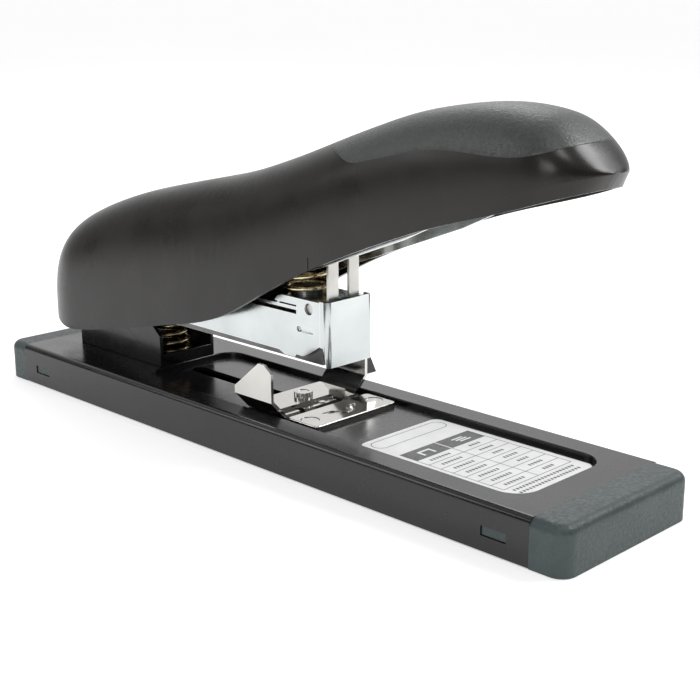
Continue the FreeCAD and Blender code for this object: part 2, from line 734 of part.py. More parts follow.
# ---------------------------------------------------------------- paper guide
def guide_plate():
    """Bent sheet: a flat on the floor, sloping wings, two ears and a finger flare on the far one."""
    owner = body()
    face = sketch(owner, "YZ_Plane", "guide_rear")
    flat = "pan_top-recess_depth+0.1"
    polygon(face, [
        ("-guide_flat_half", flat), ("guide_flat_half", flat), ("ear_half", "ear_low"),
        ("ear_half", "ear_top"), ("-ear_half", "ear_top"), ("-ear_half", "ear_low"),
    ])
    pad(owner, face, "guide_front-guide_rear")
    hollow = sketch(owner, "YZ_Plane", "guide_rear-1")
    inner = "pan_top-recess_depth+0.1+guide_sheet"
    polygon(hollow, [
        ("0.5-guide_flat_half", inner), ("guide_flat_half-0.5", inner),
        ("ear_half-guide_sheet", "ear_low+0.5"), ("ear_half-guide_sheet", "ear_top+1"),
        ("guide_sheet-ear_half", "ear_top+1"), ("guide_sheet-ear_half", "ear_low+0.5"),
    ])
    pocket(owner, hollow, "guide_front-guide_rear+2", upward=True)
    rear = sketch(owner, "XZ_Plane")
    polygon(rear, [
        ("guide_rear-1", "ear_low+2.5"), ("guide_rear", "ear_low+2.5"), ("guide_rear+11.7", "ear_top-0.4"),
        ("guide_rear+13", "ear_top+1"), ("guide_rear-1", "ear_top+1"),
    ])
    pocket(owner, rear, "2*ear_half+2", middle=True)
    front = sketch(owner, "XZ_Plane")
    polygon(front, [
        ("guide_front-3.6", "ear_top+0.1"), ("guide_front", "ear_top-2.7"), ("guide_front+1", "ear_top-2.7"),
        ("guide_front+1", "ear_top+1"), ("guide_front-3.6", "ear_top+1"),
    ])
    pocket(owner, front, "2*ear_half+2", middle=True)
    low, half = cell("pan_top") - cell("recess_depth") + 0.1, cell("guide_flat_half")
    round_edges(owner, 1.2, lambda at, way: abs(way.x) > 0.9 and near(at.z, low)
                and near(abs(at.y), half))
    flare = body()
    side = sketch(flare, "XZ_Plane", "-ear_half-flare_reach")
    polygon(side, [
        ("guide_front-guide_sheet", "ear_low+0.6"), ("guide_front", "ear_low+0.6"),
        ("guide_front-flare_lean", "ear_top-1.8"), ("guide_front-flare_lean-guide_sheet", "ear_top-1.8"),
    ])
    pad(flare, side, "flare_reach+guide_sheet/2")
    corner = sketch(flare, "YZ_Plane", "0")
    polygon(corner, [
        ("ear_half+flare_reach", "ear_low+0.6"), ("ear_half+flare_reach-1.9", "ear_top-1.8"),
        ("ear_half+flare_reach-1.9", "ear_top"), ("ear_half+flare_reach+1", "ear_top"),
        ("ear_half+flare_reach+1", "ear_low+0.6"),
    ])
    pocket(flare, corner, "guide_front+1", upward=True)
    hole = rod("guide_rivet_radius+pin_fit", 6, ("knob_x", 0, "pan_top-4"))
    notches = [
        box((3.0, 2.4, 4), ("guide_front-3.0", "%d*8.6-1.2" % way, "pan_top-2.5")) for way in (-1, 1)
    ]
    pip = rod("pip_radius", "pip_height+0.4",
              ("pip_x", "pip_side", "pan_top-recess_depth+0.1+guide_sheet-0.4"))
    return keep("guide_plate", join(cut(owner, hole, *notches), pip, flare))


def guide_thumb_pad():
    """Upper plate of the guide with a fluted round button for the thumb."""
    owner = body()
    outline = sketch(owner, "XY_Plane", "pad_top-guide_sheet")
    rectangle(outline, ("pad_rear", "0.8-guide_flat_half"), ("pad_front", "guide_flat_half-0.8"))
    pad(owner, outline, "guide_sheet")
    round_edges(owner, 0.8, lambda at, way: abs(way.z) > 0.9)
    button = rod("knob_radius", "knob_height+0.5", ("knob_x", 0, "pad_top-0.5"))
    flutes = []
    count = int(cell("knob_flutes"))
    for number in range(count):
        angle = 2 * math.pi * number / count
        flutes.append(rod("flute_radius", "knob_height",
                          ("knob_x+knob_radius*(%.5f)" % math.cos(angle),
                           "knob_radius*(%.5f)" % math.sin(angle), "pad_top")))
    hole = rod("guide_rivet_radius+pin_fit", 12, ("knob_x", 0, "pan_top-4"))
    return keep("guide_thumb_pad", cut(join(owner, button), *flutes, hole))


def guide_rivet():
    """Rivet that holds the guide's plates to the shoe, flush in the button."""
    return keep("guide_rivet", rod("guide_rivet_radius", "pad_top+knob_height-0.2-rivet_low",
                                   ("knob_x", 0, "rivet_low")))


def guide_shoe():
    """Nylon shoe: a key in the slot and a flange that runs under the floor."""
    key = box(("10", "2*slot_half-0.3", "sheet"),
              ("knob_x-5", "0.15-slot_half", "pan_top-recess_depth-sheet"))
    flange = box(("12", "2*slot_half+8", "1.6"),
                 ("knob_x-6", "-slot_half-4", "pan_top-recess_depth-sheet-1.9"))
    neck = box(("10", "2*slot_half-0.3", "0.4"),
               ("knob_x-5", "0.15-slot_half", "pan_top-recess_depth-sheet-0.4"))
    hole = rod("guide_rivet_radius+pin_fit", 8, ("knob_x", 0, "pan_top-8"))
    return keep("guide_shoe", cut(join(key, neck, flange), hole))


# ---------------------------------------------------------------- magazine
def magazine_channel():
    """Outer channel, open downward, with pivot bores, side slits and pressed marks."""
    owner = body()
    face = sketch(owner, "XZ_Plane")
    polygon(face, corner_names("channel"))
    pad(owner, face, "2*magazine_half", middle=True)
    hollow = sketch(owner, "XZ_Plane")
    polygon(hollow, [
        ("channel_a_x-1", "20"), ("channel_i_x+1", "20"), ("channel_i_x+1", "channel_j_z-magazine_sheet"),
        ("tongue_rear+magazine_sheet", "channel_j_z-magazine_sheet"),
        ("tongue_rear+magazine_sheet", "channel_n_z"), ("slot_end+1", "channel_n_z"),
        ("slot_end+1", "channel_n_z-magazine_sheet"), ("channel_a_x-1", "channel_n_z-magazine_sheet"),
    ])
    pocket(owner, hollow, "2*magazine_half-2*magazine_sheet", middle=True)
    bore = rod("pin_radius+pin_fit", "2*magazine_half+2", ("pin_x", "-magazine_half-1", "pin_z"), "y")
    slits = [
        box(("slot_end-slot_start", "magazine_sheet+1", "slot_high-slot_low"),
            ("slot_start", text, "slot_low"))
        for text in ("-magazine_half-1", "magazine_half-magazine_sheet")
    ]
    window = rod(2.0, "2*magazine_half+2", ("head_pin_x", "-magazine_half-1", "head_pin_z"), "y")
    marks = []
    for text in ("-magazine_half-0.1", "magazine_half-0.9"):
        marks.append(box(("mark_length-mark_height", 1.0, "mark_height"),
                         ("mark_rear+mark_height/2", text, "mark_low")))
        for end in ("mark_rear+mark_height/2", "mark_rear+mark_length-mark_height/2"):
            marks.append(rod("mark_height/2", 1.0, (end, text, "mark_low+mark_height/2"), "y"))
    gate = box(("3.0", "2*driver_half+1.4", "6"), ("driver_rear-0.5", "-driver_half-0.7", "head_top-3"))
    rod_hole = rod("rod_radius+0.02", "8", ("guide_block_rear-4", 0, "rod_z"), "x")
    return keep("magazine_channel", cut(owner, bore, *slits, window, *marks, gate, rod_hole))


def inner_magazine():
    """Inner channel, open upward, whose walls guide the staples' legs."""
    outer = box(("rail_front-rail_rear", "2*rail_half", "rail_height"),
                ("rail_rear", "-rail_half", "rail_low"))
    hollow = box(("rail_front-rail_rear+2", "2*rail_half-2*rail_sheet", "rail_height"),
                 ("rail_rear-1", "rail_sheet-rail_half", "rail_low+1.2"))
    return keep("inner_magazine", cut(outer, hollow))


def staple_core():
    """Core channel, open downward, that the staples straddle."""
    outer = box(("rail_front-rail_rear-0.6", "2*core_half", "core_top-core_low"),
                ("rail_rear", "-core_half", "core_low"))
    hollow = box(("rail_front-rail_rear+2", "2*core_half-2*core_sheet", "core_top-core_low"),
                 ("rail_rear-1", "core_sheet-core_half", "core_low-core_sheet"))
    legs = [
        box(("4", "2*core_half", "core_low-rail_low-1.2"), (text, "-core_half", "rail_low+1.2"))
        for text in ("rail_rear", "rail_rear+50", "rail_front-12")
    ]
    return keep("staple_core", join(cut(outer, hollow), *legs))


def head_cover():
    """Front cover of the head, folded back along both sides."""
    owner = body()
    outline = sketch(owner, "XY_Plane", "cover_low")
    rectangle(outline, ("cover_front-cover_flange", "-cover_half"), ("cover_front", "cover_half"))
    pad(owner, outline, "cover_top-cover_low")
    front = cell("cover_front")
    round_edges(owner, 1.8, lambda at, way: abs(way.z) > 0.9 and near(at.x, front))
    inside = sketch(owner, "XY_Plane", "cover_low-1")
    rectangle(inside, ("cover_front-cover_flange-1", "cover_sheet-cover_half"),
              ("cover_front-cover_sheet", "cover_half-cover_sheet"))
    pocket(owner, inside, "cover_top-cover_low+2", upward=True)
    notch = sketch(owner, "XZ_Plane")
    polygon(notch, [
        ("cover_front-cover_flange-1", "cover_low-1"), ("cover_front-0.9", "cover_low-1"),
        ("cover_front-0.9", "cover_low"), ("cover_front-1.4", "cover_low+3.4"),
        ("cover_front-2.2", "cover_low+6.6"), ("cover_front-cover_flange-1", "cover_low+6.6"),
    ])
    pocket(owner, notch, "2*cover_half+2", middle=True)
    return keep("head_cover", owner)


def driver_guide():
    """Block between the channel's walls that backs the driver and holds the guide rod."""
    block = box(("rail_front-guide_block_rear", "2*magazine_half-2*magazine_sheet-0.2",
                 "head_top-magazine_sheet-block_low-0.1"),
                ("guide_block_rear", "0.1+magazine_sheet-magazine_half", "block_low"))
    pin_hole = rod("head_pin_radius+0.02", 40, ("head_pin_x", -20, "head_pin_z"), "y")
    socket = rod("rod_radius+0.02", 6.0, ("guide_block_rear-1", 0, "rod_z"), "x")
    return keep("driver_guide", cut(block, pin_hole, socket))


def head_pin():
    """Cross pin that keeps the driver guide in the head."""
    return keep("head_pin", rod("head_pin_radius", "2*magazine_half-2*head_pin_inset",
                                ("head_pin_x", "head_pin_inset-magazine_half", "head_pin_z"), "y"))


def rear_stop():
    """Block behind the inner channel, where the guide rod and its spring start."""
    block = box(("stop_thick", "2*magazine_half-2*magazine_sheet-0.2", "13.2"),
                ("rail_rear-stop_thick-0.1", "0.1+magazine_sheet-magazine_half", "34.6"))
    hole = rod("rod_radius+0.02", 10, ("rail_rear-6", 0, "rod_z"), "x")
    return keep("rear_stop", cut(block, hole))


def guide_rod():
    """Steel rod that the pusher and its spring run on."""
    return keep("guide_rod", rod("rod_radius", "guide_block_rear+4.5-rail_rear+stop_thick",
                                 ("rail_rear-stop_thick", 0, "rod_z"), "x"))


def spring_seat():
    """Centring boss inside the return spring, with a hole for its rivet."""
    disc = rod("seat_radius", "seat_thick", ("return_x", 0, "head_top"))
    hole = rod("seat_radius/3", "2*seat_thick", ("return_x", 0, "head_top-seat_thick/2"))
    return keep("spring_seat", cut(disc, hole))


def pivot_spacers():
    """Two bushes on the main pin that centre the magazine in the riser."""
    bushes = []
    for way in (-1, 1):
        middle = "%d*(magazine_half+riser_half-riser_sheet)/2" % way
        length = "riser_half-riser_sheet-magazine_half-0.2"
        at = ("pin_x", middle + "-(riser_half-riser_sheet-magazine_half-0.2)/2", "pin_z")
        bushes.append(cut(rod("pin_radius+1.5", length, at, "y"), rod("pin_radius+pin_fit", length, at, "y")))
    return keep("pivot_spacers", group(*bushes))


# ---------------------------------------------------------------- pusher and driver
def pusher():
    """Saddle on the staple core with a boss round the guide rod."""
    saddle = box(("pusher_front-pusher_rear", "2*pusher_half", "pusher_top-core_low-0.6"),
                 ("pusher_rear", "-pusher_half", "core_low+0.6"))
    hollow = box(("pusher_front-pusher_rear+2", "2*core_half+0.6", "core_top-core_low+0.3"),
                 ("pusher_rear-1", "-core_half-0.3", "core_low"))
    boss = box(("pusher_boss_front-pusher_rear", "7.0", "6.0"), ("pusher_rear", "-3.5", "pusher_top-0.3"))
    bore = rod("rod_radius+pin_fit", 40, ("pusher_rear-10", 0, "rod_z"), "x")
    return keep("pusher", cut(join(cut(saddle, hollow), boss), bore))


def driver_fork():
    """Staple driver: a blade in the head, two legs and the hooks that hang on the lever."""
    owner = body()
    face = sketch(owner, "YZ_Plane", "driver_rear")
    rectangle(face, ("-driver_half", "driver_low"), ("driver_half", "driver_top"))
    pad(owner, face, "driver_thick")
    gap = sketch(owner, "YZ_Plane", "driver_rear-1")
    rectangle(gap, ("-driver_gap_half", "fork_low"), ("driver_gap_half", "driver_top+1"))
    pocket(owner, gap, "driver_thick+2", upward=True)
    hooks = []
    for way in (-1, 1):
        hooks.append(box(("driver_thick", "6.0", "2.0"),
                         ("driver_rear", "%d*(driver_half-0.6)-3.0" % way, "driver_top-2.0")))
    return keep("driver_fork", join(owner, *hooks))


# ---------------------------------------------------------------- lever and handle
def lever_channel():
    """Pressed lever under the handle, pivoted on the main pin and slotted for the driver."""
    owner = body()
    face = sketch(owner, "XZ_Plane")
    polygon(face, corner_names("lever"))
    pad(owner, face, "2*lever_half", middle=True)
    half = cell("lever_half")
    round_edges(owner, "lever_edge", lambda at, way: near(abs(at.y), half) and on_roof(at))
    hollow = sketch(owner, "XZ_Plane")
    polygon(hollow, [
        ("lever_a_x-1", "lever_a_z-lever_sheet"), ("lever_b_x", "lever_b_z-lever_sheet"),
        ("lever_c_x", "lever_c_z-lever_sheet"), ("lever_d_x", "lever_d_z-lever_sheet"),
        ("lever_e_x+1", "lever_e_z-lever_sheet"), ("lever_e_x+1", "10"), ("lever_a_x-1", "10"),
    ])
    pocket(owner, hollow, "2*lever_half-2*lever_sheet", middle=True)
    bore = rod("pin_radius+pin_fit", "2*lever_half+2", ("pin_x", "-lever_half-1", "pin_z"), "y")
    slots = [
        box(("lever_slot_length", "lever_slot_width", "12"),
            ("lever_slot_rear", "%d*(driver_half+driver_gap_half)/2-lever_slot_width/2" % way,
             "driver_top-9"))
        for way in (-1, 1)
    ]
    holes = [rod(1.7, 24, (text, 0, "%s-12" % height)) for text, height in screw_places()]
    return keep("lever_channel", cut(owner, bore, *slots, *holes))


def handle_screws():
    """Three screws from under the lever's roof into the handle's bosses."""
    screws = []
    for text, height in screw_places():
        head = rod(3.0, 1.8, (text, 0, "%s-lever_sheet-2.6" % height))
        shank = rod(1.5, 9.0, (text, 0, "%s-lever_sheet-1.0" % height))
        screws.append(join(head, shank))
    return keep("handle_screws", group(*screws))


def smooth(points, at_x):
    """A height on a smooth curve through points in order of x."""
    slopes = []
    for number in range(len(points)):
        before, after = points[max(number - 1, 0)], points[min(number + 1, len(points) - 1)]
        slopes.append((after[1] - before[1]) / (after[0] - before[0]))
    at_x = min(max(at_x, points[0][0]), points[-1][0])
    number = max(spot for spot in range(len(points) - 1) if points[spot][0] <= at_x)
    (x_one, z_one), (x_two, z_two) = points[number], points[number + 1]
    run = x_two - x_one
    part = (at_x - x_one) / run
    return (z_one * (1 + 2 * part) * (1 - part) ** 2 + z_two * part ** 2 * (3 - 2 * part)
            + run * part * (1 - part) * (slopes[number] * (1 - part) - slopes[number + 1] * part))


def form_stations(inset):
    """The handle's sections as (x, half width, lean of the band): straight, rounded at both ends."""
    nose, tail = cell("nose_start"), cell("tail_start")
    nose_run, tail_run = cell("handle_nose") - inset - nose, tail - cell("handle_rear") - inset
    full = cell("handle_half") - inset
    turns = [0.3, 0.6, 0.85, 1.05, 1.22, 1.36, 1.47, 1.53]
    stations = []
    for turn in reversed(turns):
        share = math.sin(turn)
        power = cell("tail_power")
        stations.append((tail - tail_run * share, full * (1 - share ** power) ** (1 / power), 0.0))
    spans = 14
    stations += [(tail + (nose - tail) * number / spans, full, 0.0) for number in range(spans + 1)]
    for turn in turns:
        share = math.sin(turn)
        power = cell("nose_power")
        lean = cell("band_lean") * share ** 2
        stations.append((nose + nose_run * share, full * (1 - share ** power) ** (1 / power), lean))
    return stations


def arch_profile():
    """The handle's arch as (side, up) shares, a superellipse from the near to the far side."""
    share = 2 / cell("arch_power")
    steps = 16
    profile = [(1.0, 0.0)]
    for step in range(1, steps):
        angle = math.pi * step / steps
        side = math.copysign(abs(math.cos(angle)) ** share, math.cos(angle))
        profile.append((side, math.sin(angle) ** share))
    return profile + [(-1.0, 0.0)]


def handle_form(inset, below):
    """The handle's outer form moved in by an inset, its open side lowered by a margin."""
    crest, hem = corners_of("crest"), corners_of("hem")
    profile = arch_profile()
    rise = 1.4  # the arch's usual height over its half width
    most = 0.9  # largest share of a low section that the upright band may take
    knots = [0.0]
    for (y_one, z_one), (y_two, z_two) in zip(profile, profile[1:]):
        knots.append(knots[-1] + math.hypot(y_two - y_one, rise * (z_two - z_one)))
    knots = [knot / knots[-1] for knot in knots]
    wires = []
    stations = form_stations(inset)
    for at_x, half, lean in stations:
        top = smooth(crest, at_x) - inset
        base = smooth(hem, at_x)
        spring = base + min(cell("band_height"), most * (top - base))
        tilt = lean if at_x == stations[-1][0] else 0.0
        points = []
        for side, up in profile:
            high = (top - spring) * up
            points.append(VECTOR(at_x + tilt * high, half * side, spring + high))
        curve = Part.BSplineCurve()
        curve.interpolate(Points=points, Parameters=knots)
        back = at_x - lean * (spring - base + below)
        feet = [VECTOR(back, -half, base - below), VECTOR(back, half, base - below)]
        wires.append(Part.Wire([
            Part.LineSegment(feet[1], points[0]).toShape(),
            curve.toShape(),
            Part.LineSegment(points[-1], feet[0]).toShape(),
            Part.LineSegment(feet[0], feet[1]).toShape(),
        ]))
    return Part.makeLoft(wires, True, False)


def side_region(ends, points):
    """A region across the handle between two upright ends, bounded by a smooth side curve."""
    half = 1.6 * cell("handle_half")
    curve = Part.BSplineCurve()
    curve.interpolate([VECTOR(across, -half, up) for across, up in points])
    corners = [VECTOR(points[0][0], -half, ends), VECTOR(points[-1][0], -half, ends)]
    edges = [
        Part.LineSegment(corners[0], curve.StartPoint).toShape(),
        curve.toShape(),
        Part.LineSegment(curve.EndPoint, corners[1]).toShape(),
        Part.LineSegment(corners[1], corners[0]).toShape(),
    ]
    return Part.Face(Part.Wire(edges)).extrude(VECTOR(0, 2 * half, 0))


def handle_parts():
    """Handle shell, grip insert and lower trim, all cut from one form."""
    outer = handle_form(0.0, 0.0)
    inner = handle_form(cell("shell_wall"), 3.0)
    above, foot, ahead = 140, 40, cell("handle_nose") + 3
    region = side_region(above, corners_of("grip"))
    grip_depth = cell("shell_wall") / 2
    crust = outer.cut(handle_form(grip_depth, 3.0))
    grip = crust.common(region)
    wall = outer.cut(inner)
    hem = corners_of("hem")
    seam, band = cell("seam_x"), cell("band_height") - cell("band_step")
    steps = 12
    run = [seam + (ahead - seam) * step / steps for step in range(steps + 1)]
    trim_region = side_region(foot, [(at_x, smooth(hem, at_x) + band) for at_x in run])
    trim = wall.common(trim_region)
    gap, half = cell("seam_gap"), cell("handle_half") + 1
    height = smooth(hem, seam) + band - foot
    slit = Part.makeBox(gap, 2 * half, height, VECTOR(seam - gap, -half, foot))
    shell = wall.cut(trim_region).cut(slit).cut(grip)
    bosses = []
    for text, height in screw_places():
        base = VECTOR(cell(text), 0, height + cell("boss_gap"))
        boss = Part.makeCylinder(cell("boss_radius"), above - foot, base)
        pilot = Part.makeCylinder(cell("pilot_radius"), 10, base)
        boss = boss.cut(pilot)
        bosses.append(boss.common(inner))
    shell = shell.fuse(bosses)
    solid_of("handle_shell", shell)
    solid_of("grip_insert", grip)
    solid_of("handle_trim", trim)


base_pan()
end_cap("front_end_cap", 1)
end_cap("rear_end_cap", -1)
bottom_plate()
bottom_screws()
rubber_feet()
anvil_plate()
anvil_rivets()
capacity_label()
riser_bracket()
riser_rivets()
main_pin()
pin_clips()
pivot_spacers()
lift_spring()
guide_plate()
guide_thumb_pad()
guide_rivet()
guide_shoe()
magazine_channel()
inner_magazine()
staple_core()
head_cover()
driver_guide()
head_pin()
rear_stop()
guide_rod()
spring_seat()
pusher()
pusher_spring()
driver_fork()
lever_channel()
return_spring()
handle_screws()
handle_parts()
doc.recompute()

for item in doc.Objects:
    if "Invalid" in item.State or "Error" in item.State:
        raise RuntimeError("%s (%s) failed: %s" % (item.Name, item.Label, item.State))
os.makedirs("parts", exist_ok=True)
for item in pieces:
    shape = item.Shape
    if shape.isNull() or not shape.isValid() or not shape.Solids:
        raise RuntimeError("%s has no valid solid" % item.Label)
    shape.exportStep("parts/%s.step" % item.Label)
    print("%-18s %2d solids %9.1f mm3" % (item.Label, len(shape.Solids), shape.Volume))
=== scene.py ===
"""Looks of the heavy-duty desktop stapler: materials, fine pieces, studio and camera.

Fine pieces are drawn in millimetres and scaled. Everything else is in metres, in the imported
frame: +X towards the anvil end, +Z up, origin under the middle of the base.
"""
import json
import math

import bpy
from mathutils import Matrix, Vector


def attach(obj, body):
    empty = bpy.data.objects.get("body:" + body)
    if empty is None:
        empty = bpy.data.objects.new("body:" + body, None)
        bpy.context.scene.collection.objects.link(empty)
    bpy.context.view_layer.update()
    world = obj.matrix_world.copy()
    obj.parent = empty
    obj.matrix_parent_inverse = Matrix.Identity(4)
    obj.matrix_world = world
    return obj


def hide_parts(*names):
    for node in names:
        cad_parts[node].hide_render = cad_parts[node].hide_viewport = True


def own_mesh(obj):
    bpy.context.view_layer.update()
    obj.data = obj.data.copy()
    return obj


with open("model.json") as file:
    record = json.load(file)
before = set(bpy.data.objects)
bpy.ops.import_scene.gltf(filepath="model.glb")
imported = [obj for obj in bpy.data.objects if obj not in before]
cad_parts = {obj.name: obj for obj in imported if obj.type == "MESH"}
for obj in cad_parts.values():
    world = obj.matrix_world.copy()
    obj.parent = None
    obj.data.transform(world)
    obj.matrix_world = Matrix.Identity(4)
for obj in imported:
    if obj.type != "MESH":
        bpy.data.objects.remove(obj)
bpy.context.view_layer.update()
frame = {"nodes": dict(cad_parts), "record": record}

NODES = frame["nodes"]
MM = 0.001


# ---------------------------------------------------------------- node helpers
class Surface:
    """A node material with one Principled shader, built step by step."""

    def __init__(self, name, roughness, metallic=0.0, coat=0.0, specular=0.5):
        self.material = bpy.data.materials.new(name)
        self.material.use_nodes = True
        self.tree = self.material.node_tree
        self.shader = self.tree.nodes["Principled BSDF"]
        self.shader.inputs["Roughness"].default_value = roughness
        self.shader.inputs["Metallic"].default_value = metallic
        self.shader.inputs["Coat Weight"].default_value = coat
        self.shader.inputs["Specular IOR Level"].default_value = specular
        self.place = self.add("ShaderNodeTexCoord").outputs["Object"]

    def add(self, kind, **values):
        """A new node with its properties set."""
        node = self.tree.nodes.new(kind)
        for key, value in values.items():
            setattr(node, key, value)
        return node

    def link(self, one, other):
        """Join an output to an input."""
        self.tree.links.new(one, other)

    def stretched(self, scale):
        """Object coordinates scaled along each axis."""
        node = self.add("ShaderNodeMapping")
        node.inputs["Scale"].default_value = scale
        self.link(self.place, node.inputs["Vector"])
        return node.outputs["Vector"]

    def noise(self, size, detail=2.0, rough=0.5, where=None):
        """Noise whose features are about `size` metres across."""
        node = self.add("ShaderNodeTexNoise")
        node.inputs["Scale"].default_value = 1.0 / size
        node.inputs["Detail"].default_value = detail
        node.inputs["Roughness"].default_value = rough
        self.link(where or self.place, node.inputs["Vector"])
        return node.outputs["Fac"]

    def between(self, fac, low, high, start=0.35, stop=0.65):
        """A factor spread from `low` to `high`."""
        node = self.add("ShaderNodeMapRange")
        node.inputs["From Min"].default_value = start
        node.inputs["From Max"].default_value = stop
        node.inputs["To Min"].default_value = low
        node.inputs["To Max"].default_value = high
        self.link(fac, node.inputs["Value"])
        return node.outputs["Result"]

    def mix(self, fac, one, other):
        """Two colours blended by a factor."""
        node = self.add("ShaderNodeMix", data_type="RGBA")
        self.link(fac, node.inputs["Factor"])
        for socket, colour in ((node.inputs["A"], one), (node.inputs["B"], other)):
            if isinstance(colour, tuple):
                socket.default_value = (*colour, 1.0)
            else:
                self.link(colour, socket)
        return node.outputs["Result"]

    def edges(self, width, samples=6):
        """Mask for painted edge highlights: 0 on faces, 1 on sharp edges."""
        sharp, flat = 0.82, 0.99
        bevel = self.add("ShaderNodeBevel", samples=samples)
        bevel.inputs["Radius"].default_value = width
        across = self.add("ShaderNodeVectorMath", operation="DOT_PRODUCT")
        face = self.add("ShaderNodeNewGeometry")
        self.link(bevel.outputs["Normal"], across.inputs[0])
        self.link(face.outputs["Normal"], across.inputs[1])
        return self.between(across.outputs["Value"], 1.0, 0.0, sharp, flat)

    def colour(self, fac, one, other, start=0.35, stop=0.65):
        """Base colour that wanders between two colours."""
        self.link(self.mix(self.between(fac, 0.0, 1.0, start, stop), one, other),
                  self.shader.inputs["Base Color"])

    def roughness(self, fac, low, high, start=0.35, stop=0.65):
        """Roughness that wanders between two values."""
        self.link(self.between(fac, low, high, start, stop), self.shader.inputs["Roughness"])

    def bump(self, fac, height, strength=1.0):
        """Raise the surface by `height` metres where the factor is 1."""
        node = self.add("ShaderNodeBump")
        node.inputs["Strength"].default_value = strength
        node.inputs["Distance"].default_value = height
        self.link(fac, node.inputs["Height"])
        earlier = self.shader.inputs["Normal"].links
        if earlier:
            self.link(earlier[0].from_socket, node.inputs["Normal"])
        self.link(node.outputs["Normal"], self.shader.inputs["Normal"])


# ---------------------------------------------------------------- materials
def pan_paint():
    """Glossy black stove enamel with faint orange peel and dust."""
    look = Surface("pan_paint", 0.2, coat=0.2, specular=0.4)
    look.colour(look.noise(0.03, 3.0), (0.0055, 0.005, 0.0055), (0.009, 0.0085, 0.009))
    look.roughness(look.noise(0.012, 4.0, 0.6), 0.2, 0.3)
    look.bump(look.noise(0.0016, 2.0), 0.00002, 0.3)
    look.shader.inputs["Coat Roughness"].default_value = 0.1
    return look.material


def cap_plastic():
    """Blue-grey moulded plastic with a pebbled grain."""
    look = Surface("cap_plastic", 0.5, specular=0.5)
    look.colour(look.noise(0.009, 3.0), (0.034, 0.05, 0.052), (0.046, 0.064, 0.065))
    look.roughness(look.noise(0.0011, 2.0), 0.36, 0.52)
    look.bump(look.noise(0.0011, 3.0, 0.65), 0.0003, 0.75)
    return look.material


def handle_plastic():
    """Satin black moulding, very slightly warm."""
    look = Surface("handle_plastic", 0.3, specular=0.4)
    look.colour(look.noise(0.05, 2.0), (0.0085, 0.0066, 0.0056), (0.0115, 0.0092, 0.008))
    look.roughness(look.noise(0.018, 3.0), 0.26, 0.34)
    look.bump(look.noise(0.0007, 2.0, 0.6), 0.00001, 0.3)
    return look.material


def grip_rubber():
    """Dark grey-green soft moulding with a fine stipple."""
    look = Surface("grip_rubber", 0.5, specular=0.7)
    look.colour(look.noise(0.0012, 3.0), (0.018, 0.023, 0.022), (0.03, 0.036, 0.034))
    look.roughness(look.noise(0.0006, 2.0), 0.3, 0.46)
    look.bump(look.noise(0.0009, 3.0, 0.7), 0.00022, 0.8)
    return look.material


def plated(name, dark, light, rough, grain=(1.0, 8.0, 8.0), edge_highlight=(0.9, 0.9, 0.88)):
    """Plated sheet steel: faint rolling grain, wandering tone and painted highlights on its sharp
    edges.
    """
    highlight_width, ripple = 0.00035, 0.000004
    look = Surface(name, rough, metallic=1.0)
    tone = look.mix(look.between(look.noise(0.02, 3.0, 0.5), 0.0, 1.0), dark, light)
    # Sharp edges take a lighter colour: a painted highlight, not wear.
    look.link(look.mix(look.edges(highlight_width), tone, edge_highlight), look.shader.inputs["Base Color"])
    look.roughness(look.noise(0.006, 3.0, 0.6), rough * 0.85, rough * 1.2)
    look.bump(look.noise(0.006, 2.0, 0.5, look.stretched(grain)), ripple, 0.25)
    return look.material


def spring_wire():
    """Drawn wire with a golden passivated finish."""
    look = Surface("spring_wire", 0.25, metallic=1.0)
    look.colour(look.noise(0.004, 3.0), (0.6, 0.45, 0.24), (0.88, 0.75, 0.5))
    look.roughness(look.noise(0.002, 3.0), 0.16, 0.3)
    look.bump(look.noise(0.0008, 2.0), 0.00001, 0.3)
    return look.material


def label_paper():
    """White laminated sticker stock."""
    look = Surface("label_paper", 0.35, coat=0.3)
    look.colour(look.noise(0.006, 2.0), (0.73, 0.735, 0.735), (0.79, 0.79, 0.79))
    look.roughness(look.noise(0.003, 3.0), 0.3, 0.42)
    look.bump(look.noise(0.0006, 2.0), 0.000006, 0.3)
    return look.material


def label_ink():
    """Dark grey print, a little uneven."""
    look = Surface("label_ink", 0.4)
    look.colour(look.noise(0.0012, 3.0), (0.035, 0.035, 0.037), (0.06, 0.06, 0.062))
    look.roughness(look.noise(0.002, 3.0), 0.34, 0.46)
    look.bump(look.noise(0.0006, 2.0), 0.000004, 0.3)
    return look.material


def rubber(name, dark, light):
    """Matt black rubber or nylon."""
    look = Surface(name, 0.7, specular=0.35)
    look.colour(look.noise(0.003, 3.0), dark, light)
    look.roughness(look.noise(0.002, 3.0), 0.6, 0.8)
    look.bump(look.noise(0.0005, 3.0), 0.00004, 0.5)
    return look.material


